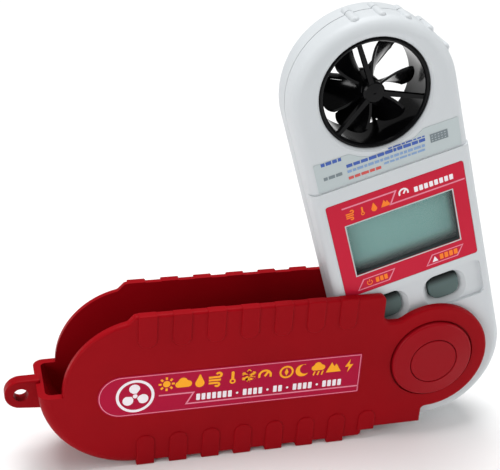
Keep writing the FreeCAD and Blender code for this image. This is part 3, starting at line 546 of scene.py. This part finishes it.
def bezel_print():
    """Print around the display: pictograms, blocks, key names and the window's edge."""
    zigzag = [stroke([(-15.4, 56.0), (-0.1, 56.0), (-2.1, 52.5), (19.3, 52.5)], RULE_WIDTH)]
    flat_piece("bezel_print_line", zigzag, BEZEL_FACE, ink_pink, "meter")
    signs = []
    for i, shape in enumerate((wind(), thermometer(), drop(), mountain())):
        signs += moved(shape, -13.3 + 3.3 * i, 53.5, 2.7)
    flat_piece("bezel_print_pictograms", signs, BEZEL_FACE, ink_orange, "meter")
    white = moved(gauge(), 2.0, 54.9, 3.2)
    for i in range(8):
        white.append(bar(5.0 + 1.45 * i, 6.05 + 1.45 * i, 53.6, 55.2, 0.2))
    flat_piece("bezel_print_blocks", white, BEZEL_FACE, ink_white, "meter")
    boxes = []
    skew = 2.1
    for x in (-16.0, 4.4):
        for inset in (0.0, 0.3):
            boxes.append([(x + inset * 1.6, 29.3 + inset), (x + skew + inset, 32.5 - inset),
                          (x + 11.6 - inset * 1.6, 32.5 - inset), (x + 11.6 - skew - inset, 29.3 + inset)])
    flat_piece("bezel_print_boxes", boxes, BEZEL_FACE, ink_pink, "meter")
    orange = moved(power_sign(), -12.2, 30.9, 1.9)
    orange += [bar(-10.4 + 1.25 * i, -9.45 + 1.25 * i, 30.1, 31.7, 0.15) for i in range(3)]
    orange += [bar(8.7 + 1.4 * i, 9.75 + 1.4 * i, 30.1, 31.8, 0.15) for i in range(4)]
    flat_piece("bezel_print_key_names", orange, BEZEL_FACE, ink_orange, "meter")
    pointer = [[(6.4, 30.0), (8.1, 30.0), (7.25, 31.7)]]
    flat_piece("bezel_print_pointer", pointer, BEZEL_FACE, ink_white, "meter")
    edge = [window_edge(0), window_edge(SILVER_WIDTH)]
    flat_piece("window_silver_line", edge, BEZEL_FACE, silver_line, "meter", thickness=0.05)


def head_print():
    """Small print on the sloping foil, as rows of blocks."""
    low, high = foil_plane()
    run = (high - low).length / MM
    place = Matrix.Identity(4)
    rise = (high - low).normalized()
    for column, axis in enumerate((across, rise, across.cross(rise))):
        place.col[column][:3] = axis * MM
    place.translation = low
    # each line of print: left end, right end, height on the foil, size, seed
    rows = (
        ("head_print_blue", ink_blue,
         [(-18.2, -12.6, 8.3, 1.0, 3), (-11.6, 10.4, 5.3, 0.95, 5), (0.2, 10.4, 6.3, 0.4, 8)]),
        ("head_print_pale", ink_pale_blue, [(-11.6, 10.4, 3.6, 0.8, 7), (-1.6, 10.4, 2.3, 0.6, 9)]),
        ("head_print_red", ink_red, [(-11.6, -2.4, 1.6, 0.85, 11)]),
        ("head_print_grey", ink_grey, [(-18.2, -12.8, 3.7, 0.95, 13)]),
    )
    for name, colour, lines in rows:
        loops = []
        for x0, x1, y, height, seed in lines:
            loops += filler_rows(x0, x1, min(y, run - 0.6), height, seed, 0.3)
        flat_piece(name, loops, place, colour, "meter")
    stamp = [bar(11.8, 16.8, 3.6, 6.2)]
    for row in range(3):
        stamp += [bar(12.2 + 0.9 * i, 12.6 + 0.9 * i, 3.95 + 0.75 * row, 4.2 + 0.75 * row) for i in range(5)]
    flat_piece("head_print_stamp", stamp, place, ink_grey, "meter")


def foil_plane():
    """Lowest and highest middle points of the foil's front surface."""
    points = [v.co for v in frame["nodes"]["head_label"].data.vertices]
    middle = [p for p in points if abs(across.dot(p - pivot)) < 40 * MM]
    heights = sorted((up.dot(p - pivot), p.y) for p in middle)
    lowest, highest = heights[0][0], heights[-1][0]
    front_low = min(y for h, y in heights if h < lowest + 0.3 * MM)
    front_high = min(y for h, y in heights if h > highest - 0.3 * MM)
    low = pivot + up * lowest
    high = pivot + up * highest
    return Vector((low.x, front_low, low.z)), Vector((high.x, front_high, high.z))


# ---------------------------------------------------------------- liner of the display window
def window_liner():
    """Dark moulded frame that lines the recess between the label and the display."""
    loops = [window_edge(LINER_WIDTH, 0.3), window_edge(0, 0.3)]
    depth = (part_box("window_lens")[0].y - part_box("bezel_label")[1].y) / MM
    skin = (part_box("bezel_label")[1].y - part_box("bezel_label")[0].y) / MM
    flat_piece("window_liner", loops, BEZEL_FACE, mask_black, "meter", -skin - depth, depth)


sheath_print()
bezel_print()
head_print()
window_liner()

# ---------------------------------------------------------------- floor, light and camera
FLOOR_SIZE = 6
SKY_STRENGTH = 0.25

scene = bpy.context.scene
scene.view_settings.view_transform = "Standard"

floor_material = moulded("floor_paper", (0.90, 0.90, 0.90), 0.9, 1.0, 0.02, 0.0, 0.02, Specular_IOR_Level=0.1)
bpy.ops.mesh.primitive_plane_add(size=FLOOR_SIZE, location=(0, 0, 0))
floor = bpy.context.object
floor.name = "floor"
floor.data.materials.append(floor_material)

world = bpy.data.worlds.new("studio")
world.use_nodes = True
world.node_tree.nodes["Background"].inputs["Color"].default_value = (1, 1, 1, 1)
world.node_tree.nodes["Background"].inputs["Strength"].default_value = SKY_STRENGTH
scene.world = world


def soft_box(name, location, target, size, power):
    """Square area light aimed at a point."""
    data = bpy.data.lights.new(name, "AREA")
    data.shape = "SQUARE"
    data.size = size
    data.energy = power
    lamp = bpy.data.objects.new(name, data)
    scene.collection.objects.link(lamp)
    lamp.location = location
    lamp.rotation_euler = (Vector(target) - Vector(location)).to_track_quat("-Z", "Y").to_euler()
    return lamp


middle = (cad_low + cad_high) / 2
soft_box("key_light", (-0.06, 0.30, 1.50), middle, 1.0, 23.0)
soft_box("left_fill", (-0.66, -0.38, 0.30), middle, 0.4, 2.3)
soft_box("right_fill", (0.62, -0.26, 0.26), middle, 0.4, 1.6)

CAMERA_FROM_PIVOT = Vector((-131.4, -260.3, 182.1)) * MM
VIEW_AZIMUTH = -16.55
VIEW_ELEVATION = 27.76
VIEW_ROLL = 3.9
LENS_MM = 82.5

azimuth = math.radians(VIEW_AZIMUTH)
elevation = math.radians(VIEW_ELEVATION)
look = Vector((-math.sin(azimuth) * math.cos(elevation), math.cos(azimuth) * math.cos(elevation),
               -math.sin(elevation)))
lens = bpy.data.cameras.new("camera")
lens.lens = LENS_MM
camera = bpy.data.objects.new("camera", lens)
scene.collection.objects.link(camera)
camera.location = pivot + CAMERA_FROM_PIVOT
level = look.to_track_quat("-Z", "Y").to_matrix().to_4x4()
roll = Matrix.Rotation(math.radians(VIEW_ROLL), 4, -look)
camera.rotation_euler = (roll @ level).to_euler()
scene.camera = camera
